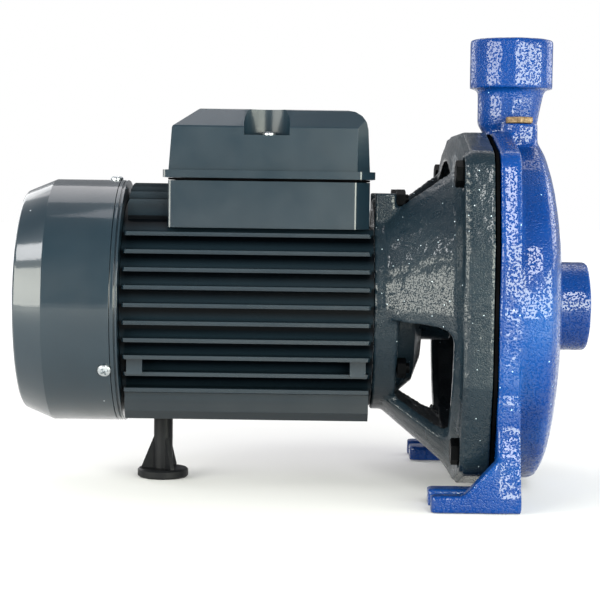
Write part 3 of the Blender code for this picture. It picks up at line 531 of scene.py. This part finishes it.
def startEdit(piece):   # edit mode with everything selected
    selectOnly(piece)
    bpy.ops.object.mode_set(mode="EDIT")
    bpy.ops.mesh.select_all(action="SELECT")


def pickFaces(piece, wanted):   # leaves the piece in edit mode with the wanted faces selected
    selectOnly(piece)
    bpy.ops.object.mode_set(mode="EDIT")
    bpy.ops.mesh.select_mode(type="FACE")
    bpy.ops.mesh.select_all(action="DESELECT")
    bpy.ops.object.mode_set(mode="OBJECT")
    for face in piece.data.polygons:
        face.select = wanted(face.center, face.normal)
    bpy.ops.object.mode_set(mode="EDIT")


def endEdit():
    bpy.ops.object.mode_set(mode="OBJECT")


def smooth(piece, angle=35):   # with weighted normals, so that flat faces stay flat
    selectOnly(piece)
    bpy.ops.object.shade_smooth_by_angle(angle=math.radians(angle))
    applyModifier(piece, "WEIGHTED_NORMAL", mode="FACE_AREA", keep_sharp=True)


def joined(pieces):
    bpy.ops.object.select_all(action="DESELECT")
    for piece in pieces:
        piece.select_set(True)
    bpy.context.view_layer.objects.active = pieces[0]
    bpy.ops.object.join()
    return bpy.context.object


def settle(piece, name, finish):   # place into the mesh, and how the piece is carried
    selectOnly(piece)
    bpy.ops.object.transform_apply(location=True, rotation=True, scale=True)
    piece.name = name
    piece.data.materials.clear()
    piece.data.materials.append(finish)
    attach(piece, "root")
    return piece


merging = {"distance": 0.01 * mm, "angle": 0.3}     # of the CAD's loose triangles


def takeOver(name, nodeNames):   # merged copies of CAD nodes as one piece that stands for them
    copies = []
    for nodeName in nodeNames:
        piece = bpy.data.objects.new(name, frame["nodes"][nodeName].data.copy())
        bpy.context.scene.collection.objects.link(piece)
        startEdit(piece)
        bpy.ops.mesh.remove_doubles(threshold=merging["distance"])
        bpy.ops.mesh.dissolve_limited(angle_limit=math.radians(merging["angle"]))
        endEdit()
        copies.append(piece)
    whole = copies[0] if len(copies) == 1 else joined(copies)
    whole = settle(whole, name, finishes[slots[nodeNames[0]]])
    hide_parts(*nodeNames)
    return whole


def softenEdges(piece, width, segments=2, angle=30):
    applyModifier(piece, "BEVEL", width=width, segments=segments, limit_method="ANGLE",
                  angle_limit=math.radians(angle), harden_normals=False)
    smooth(piece, angle)


def castSkin(piece, cast):   # closes the seams and rounds every corner, as a sand casting has them
    applyModifier(piece, "DISPLACE", strength=cast["seam"], mid_level=0.0)
    applyModifier(piece, "REMESH", mode="VOXEL", voxel_size=cast["voxel"], adaptivity=0.0)
    applyModifier(piece, "DISPLACE", strength=-cast["seam"], mid_level=0.0)
    applyModifier(piece, "SMOOTH", iterations=cast["rounds"])
    sand = bpy.data.textures.new(piece.name + "Sand", "CLOUDS")
    sand.noise_scale = cast["sandSize"]
    applyModifier(piece, "DISPLACE", texture=sand, texture_coords="LOCAL",
                  strength=cast["sandDepth"], mid_level=0.5)
    applyModifier(piece, "DECIMATE", ratio=cast["keep"])
    low, high = cadBox
    for point in piece.data.vertices:   # soles and end faces stay where the CAD has them
        for i in range(3):
            point.co[i] = min(max(point.co[i], low[i]), high[i])
    selectOnly(piece)
    bpy.ops.object.shade_smooth()


flangeSides = {
    "inside": 92.0 * mm,       # no nearer the shaft than this
    "bracket": (86.4 * mm, 100.2 * mm, math.tan(math.radians(3.0))),
    "casing": (114.5 * mm, 102.5 * mm, math.tan(math.radians(2.5))),
}


def draftSides(piece, start, end, slope):   # flange sides lean in towards the x given first
    for point in piece.data.vertices:
        share = (end - point.co.x) / (end - start)
        out = math.hypot(point.co.y, point.co.z - axis)
        if 0 <= share <= 1 and out > flangeSides["inside"]:
            point.co.y -= math.copysign(slope * share * abs(end - start), point.co.y)


machined = {   # name: node, width of its softened edges, angle that counts as an edge
    "fanCover": ("fan_cover", 0.5 * mm, 18),
    "boxBase": ("terminal_box_base", 0.7 * mm, 30),
    "boxLid": ("terminal_box_lid", 0.9 * mm, 30),
    "supportLeg": ("support_leg", 0.5 * mm, 30),
    "cableGland": ("cable_gland", 0.5 * mm, 30),
    "glandNut": ("gland_nut", 0.5 * mm, 30),
    "primingPlug": ("priming_plug", 0.5 * mm, 30),
    "bearingHousing": ("bearing_housing", 1.2 * mm, 30),
}
for name, (nodeName, width, angle) in machined.items():
    piece = takeOver(name, [nodeName])
    softenEdges(piece, width, angle=angle)
    if name == "boxLid":
        piece.data.materials[0] = lidPaint

finTip = {"width": 0.85 * mm, "segments": 3}     # the cast fins are rounder than the rest
motorHousing = takeOver("motorHousing", ["motor_housing"])
softenEdges(motorHousing, finTip["width"], finTip["segments"])
motorHousing.data.materials[0] = finPaint

shieldRim = {
    "grooveFrom": -106.9 * mm,   # the joint between the shield's rim and its flange
    "grooveTo": -106.1 * mm,
    "grooveDepth": 1.0 * mm,
    "outside": 68.0 * mm,        # faces further out than this are the rim's
    "edge": 0.35 * mm,
}


def addRearShield():
    shield = takeOver("rearShield", ["rear_end_shield"])
    selectOnly(shield)
    bpy.ops.object.mode_set(mode="EDIT")
    for x in (shieldRim["grooveFrom"], shieldRim["grooveTo"]):
        bpy.ops.mesh.select_all(action="SELECT")
        bpy.ops.mesh.bisect(plane_co=(x, 0, 0), plane_no=(1, 0, 0))
    endEdit()
    middle = (shieldRim["grooveFrom"] + shieldRim["grooveTo"]) / 2
    half = (shieldRim["grooveTo"] - shieldRim["grooveFrom"]) / 2

    def inGroove(centre, normal):
        out = math.hypot(centre.y, centre.z - axis)
        return abs(centre.x - middle) < half and out > shieldRim["outside"]

    pickFaces(shield, inGroove)
    bpy.ops.mesh.extrude_region_shrink_fatten(
        TRANSFORM_OT_shrink_fatten={"value": -shieldRim["grooveDepth"]})
    endEdit()
    softenEdges(shield, shieldRim["edge"])


addRearShield()
print("motor pieces are shaped")

blueCast = {"seam": 0.25 * mm, "voxel": 1.4 * mm, "rounds": 3, "keep": 0.7, "sandSize": 9 * mm,
            "sandDepth": 0.3 * mm}
bracketCast = {"seam": 0.25 * mm, "voxel": 1.2 * mm, "rounds": 2, "keep": 0.6, "sandSize": 8 * mm,
               "sandDepth": 0.25 * mm}
blueNodes = ["pump_casing", "suction_port", "discharge_port", "near_foot", "far_foot"]
blueCasting = takeOver("blueCasting", blueNodes)
castSkin(blueCasting, blueCast)
draftSides(blueCasting, *flangeSides["casing"])
bracketCasting = takeOver("bracketCasting", ["motor_bracket"])
castSkin(bracketCasting, bracketCast)
draftSides(bracketCasting, *flangeSides["bracket"])
print("castings are shaped")


def addTemplate(kind, **values):   # a primitive with everything else deselected
    bpy.ops.object.select_all(action="DESELECT")
    getattr(bpy.ops.mesh, "primitive_" + kind + "_add")(**values)
    bpy.ops.object.transform_apply(location=True, rotation=True, scale=True)
    return bpy.context.object


def useTool(piece, tool, operation):
    applyModifier(piece, "BOOLEAN", operation=operation, solver="EXACT", object=tool)
    bpy.data.objects.remove(tool, do_unlink=True)


def placeCopies(template, name, places, finish):
    for i, place in enumerate(places):
        mesh = template.data.copy()
        mesh.transform(place)
        piece = bpy.data.objects.new(name + str(i + 1), mesh)
        bpy.context.scene.collection.objects.link(piece)
        settle(piece, name + str(i + 1), finish)
    bpy.data.objects.remove(template, do_unlink=True)


def pointing(x, y, z, direction):   # +Z of a template turned to a direction, at a place
    turn = Vector(direction).to_track_quat("Z", "Y").to_matrix().to_4x4()
    return Matrix.Translation((x, y, z)) @ turn


def facesUp(centre, normal):   # within 8 degrees
    return normal.z > 0.99


hexDressing = {
    "top": 0.97,        # width of the dressed face, of the flats
    "slope": 1.73,      # outwards for each step down
    "reach": 1.2,       # of the height
    "sides": 32,
}


def hexForm(flats, height, base=0.0):   # a hexagon with its top corners dressed off by a cone
    radius = flats / math.sqrt(3)
    form = addTemplate("cylinder", vertices=6, radius=radius, depth=height,
                       location=(0, 0, base + height / 2))
    top = flats / 2 * hexDressing["top"]
    reach = height * hexDressing["reach"]
    dresser = addTemplate("cone", vertices=hexDressing["sides"], depth=reach,
                          radius1=top + reach * hexDressing["slope"], radius2=top,
                          location=(0, 0, base + height - reach / 2))
    useTool(form, dresser, "INTERSECT")
    return form


thread = {
    "core": 0.86,       # radius of the core, of the thread's
    "ridge": 0.42,      # size of the ridge, of the pitch
    "start": 0.6,       # pitches below the head
    "steps": 24,        # a turn
    "sides": 24,
}


def windRidge(radius, place, lean, steps, turns, pitch):   # three-sided, down a screw line
    ridge = addTemplate("circle", vertices=3, radius=radius, fill_type="NOTHING",
                        rotation=(math.pi / 2, lean, 0), location=place)
    applyModifier(ridge, "SCREW", steps=steps, render_steps=steps, iterations=turns,
                  screw_offset=-pitch, use_merge_vertices=True)
    startEdit(ridge)
    bpy.ops.mesh.fill_holes(sides=4)
    bpy.ops.mesh.select_all(action="SELECT")
    bpy.ops.mesh.normals_make_consistent(inside=False)
    endEdit()
    return ridge


def addThread(radius, pitch, length):   # a threaded bar from 0 down to -length
    turns = int(length / pitch)
    bar = addTemplate("cylinder", vertices=thread["sides"], radius=radius * thread["core"],
                      depth=length, location=(0, 0, -length / 2))
    size = pitch * thread["ridge"]
    ridge = windRidge(size, (radius - size, 0, -pitch * thread["start"]), math.pi / 2,
                      thread["steps"], turns - 1, pitch)
    return joined([bar, ridge])


flangeBolt = {
    "offset": 76.01 * mm,      # from the shaft, across and up
    "seat": 86.4 * mm,         # back face of the bracket's flange
    "washer": (8.0 * mm, 4.4 * mm, 1.6 * mm),     # outer and inner radius, thickness
    "washerSides": (36, 24),                      # outside and in its hole
    "washerEdge": 0.2 * mm,
    "lift": 0.02 * mm,         # between washer and head
    "flats": 13.0 * mm,
    "head": 5.3 * mm,
    "headEdge": 0.25 * mm,
    "dish": (1.6 * mm, 0.35 * mm),                # the head's sunk middle: its rim and depth
    "shank": 4.0 * mm,
    "shankEnd": 112.8 * mm,
    "pitch": 1.25 * mm,
}


def addFlangeBolts():
    outer, inner, thick = flangeBolt["washer"]
    outside, inside = flangeBolt["washerSides"]
    washer = addTemplate("cylinder", vertices=outside, radius=outer, depth=thick,
                         location=(0, 0, thick / 2))
    hole = addTemplate("cylinder", vertices=inside, radius=inner, depth=4 * thick)
    useTool(washer, hole, "DIFFERENCE")
    softenEdges(washer, flangeBolt["washerEdge"])
    head = hexForm(flangeBolt["flats"], flangeBolt["head"], thick + flangeBolt["lift"])
    rim, sunk = flangeBolt["dish"]
    pickFaces(head, facesUp)
    bpy.ops.mesh.inset(thickness=rim)
    bpy.ops.transform.translate(value=(0, 0, -sunk))
    endEdit()
    softenEdges(head, flangeBolt["headEdge"])
    length = flangeBolt["shankEnd"] - flangeBolt["seat"]
    shank = addThread(flangeBolt["shank"], flangeBolt["pitch"], length)
    bolt = joined([head, washer, shank])
    smooth(bolt)
    places = []
    for y in (-1, 1):
        for z in (-1, 1):
            places.append(pointing(flangeBolt["seat"], y * flangeBolt["offset"],
                                   axis + z * flangeBolt["offset"], (-1, 0, 0)))
    placeCopies(bolt, "flangeBolt", places, blackSteel)


addFlangeBolts()

tieNut = {
    "places": ((-31.5, 61.5, 50.2), (31.5, 61.5, 50.2),      # mm across, above and along the shaft
               (-50.0, -33.0, 51.2), (50.0, -33.0, 51.2)),
    "flats": 10.0 * mm,
    "height": 5.0 * mm,
    "edge": 0.2 * mm,
    "stud": 3.0 * mm,
    "proud": 1.8 * mm,
    "studSides": 20,
    "studEdge": 0.4 * mm,
}


def addTieNuts():
    nut = hexForm(tieNut["flats"], tieNut["height"])
    softenEdges(nut, tieNut["edge"])
    length = tieNut["height"] + tieNut["proud"]
    stud = addTemplate("cylinder", vertices=tieNut["studSides"], radius=tieNut["stud"],
                       depth=length, location=(0, 0, length / 2))
    softenEdges(stud, tieNut["studEdge"])
    nut = joined([nut, stud])
    smooth(nut)
    places = [pointing(x * mm, y * mm, axis + z * mm, (1, 0, 0)) for y, z, x in tieNut["places"]]
    placeCopies(nut, "tieNut", places, blackSteel)


addTieNuts()

panScrew = {
    "radius": 3.7 * mm,
    "sides": 28,
    "height": 2.3 * mm,
    "shoulder": 1.2 * mm,                        # how far its rim lies below the height
    "dome": ((0.35 * mm, 0.55 * mm), (0.8 * mm, 0.4 * mm), (1.0 * mm, 0.2 * mm)),   # inset, rise
    "smoothing": 30,                             # degrees
    "slot": (1.15 * mm, 4.6 * mm, 1.7 * mm),     # width, length and depth of the cross
    "coverTurn": 25,                             # degrees, of the cross
    "lidTurn": 40,
    "coverX": -112.4 * mm,
    "coverRadius": 70.45 * mm,
    "coverAngles": (90, 210, 330),
    "lidPlace": (-22.6 * mm, -41.5 * mm, 96.5 * mm),
}


def addPanScrews():
    head = addTemplate("cylinder", vertices=panScrew["sides"], radius=panScrew["radius"],
                       depth=panScrew["height"], location=(0, 0, panScrew["height"] / 2))
    pickFaces(head, facesUp)
    bpy.ops.transform.translate(value=(0, 0, -panScrew["shoulder"]))
    for inset, rise in panScrew["dome"]:
        bpy.ops.mesh.inset(thickness=inset)
        bpy.ops.transform.translate(value=(0, 0, rise))
    endEdit()
    width, length, depth = panScrew["slot"]
    for turn in (0, math.pi / 2):
        cutter = addTemplate("cube", size=1.0, location=(0, 0, panScrew["height"]),
                             scale=(length, width, 2 * depth), rotation=(0, 0, turn))
        useTool(head, cutter, "DIFFERENCE")
    smooth(head, panScrew["smoothing"])
    places = []
    for angle in panScrew["coverAngles"]:
        out = Vector((0, math.cos(math.radians(angle)), math.sin(math.radians(angle))))
        place = out * panScrew["coverRadius"] + Vector((panScrew["coverX"], 0, axis))
        turn = Matrix.Rotation(math.radians(panScrew["coverTurn"]), 4, "Z")
        places.append(pointing(*place, out) @ turn)
    x, y, z = panScrew["lidPlace"]
    turn = Matrix.Rotation(math.radians(panScrew["lidTurn"]), 4, "Z")
    places.append(Matrix.Translation((x, y, axis + z)) @ turn)
    placeCopies(head, "panScrew", places, zinc)


addPanScrews()
print("bolts, nuts and screws are in place")

pipeThread = {
    "pitch": 2.31 * mm,
    "depth": 1.3 * mm,
    "bite": 0.35,       # of the depth, from the bore's face to the middle of the ridge
    "start": 1.6,       # pitches below the port's face
    "steps": 40,        # a turn
    "discharge": (117.7 * mm, 0.0, 259.5 * mm, 16.6 * mm, 8),     # place, bore radius, turns
    "suction": (164.0 * mm, 0.0, axis, 19.5 * mm, 7),
}


def addPipeThread(name, direction):
    x, y, z, bore, turns = pipeThread[name]
    pitch = pipeThread["pitch"]
    size = pipeThread["depth"]
    start = (bore - size * pipeThread["bite"], 0, -pipeThread["start"] * pitch)
    ridge = windRidge(size, start, -math.pi / 2, pipeThread["steps"], turns, pitch)
    smooth(ridge)
    placeCopies(ridge, name + "Thread", [pointing(x, y, z, direction)],
                finishes["casing_paint"])


addPipeThread("discharge", (0, 0, 1))
addPipeThread("suction", (1, 0, 0))
print("pipe threads are cut")
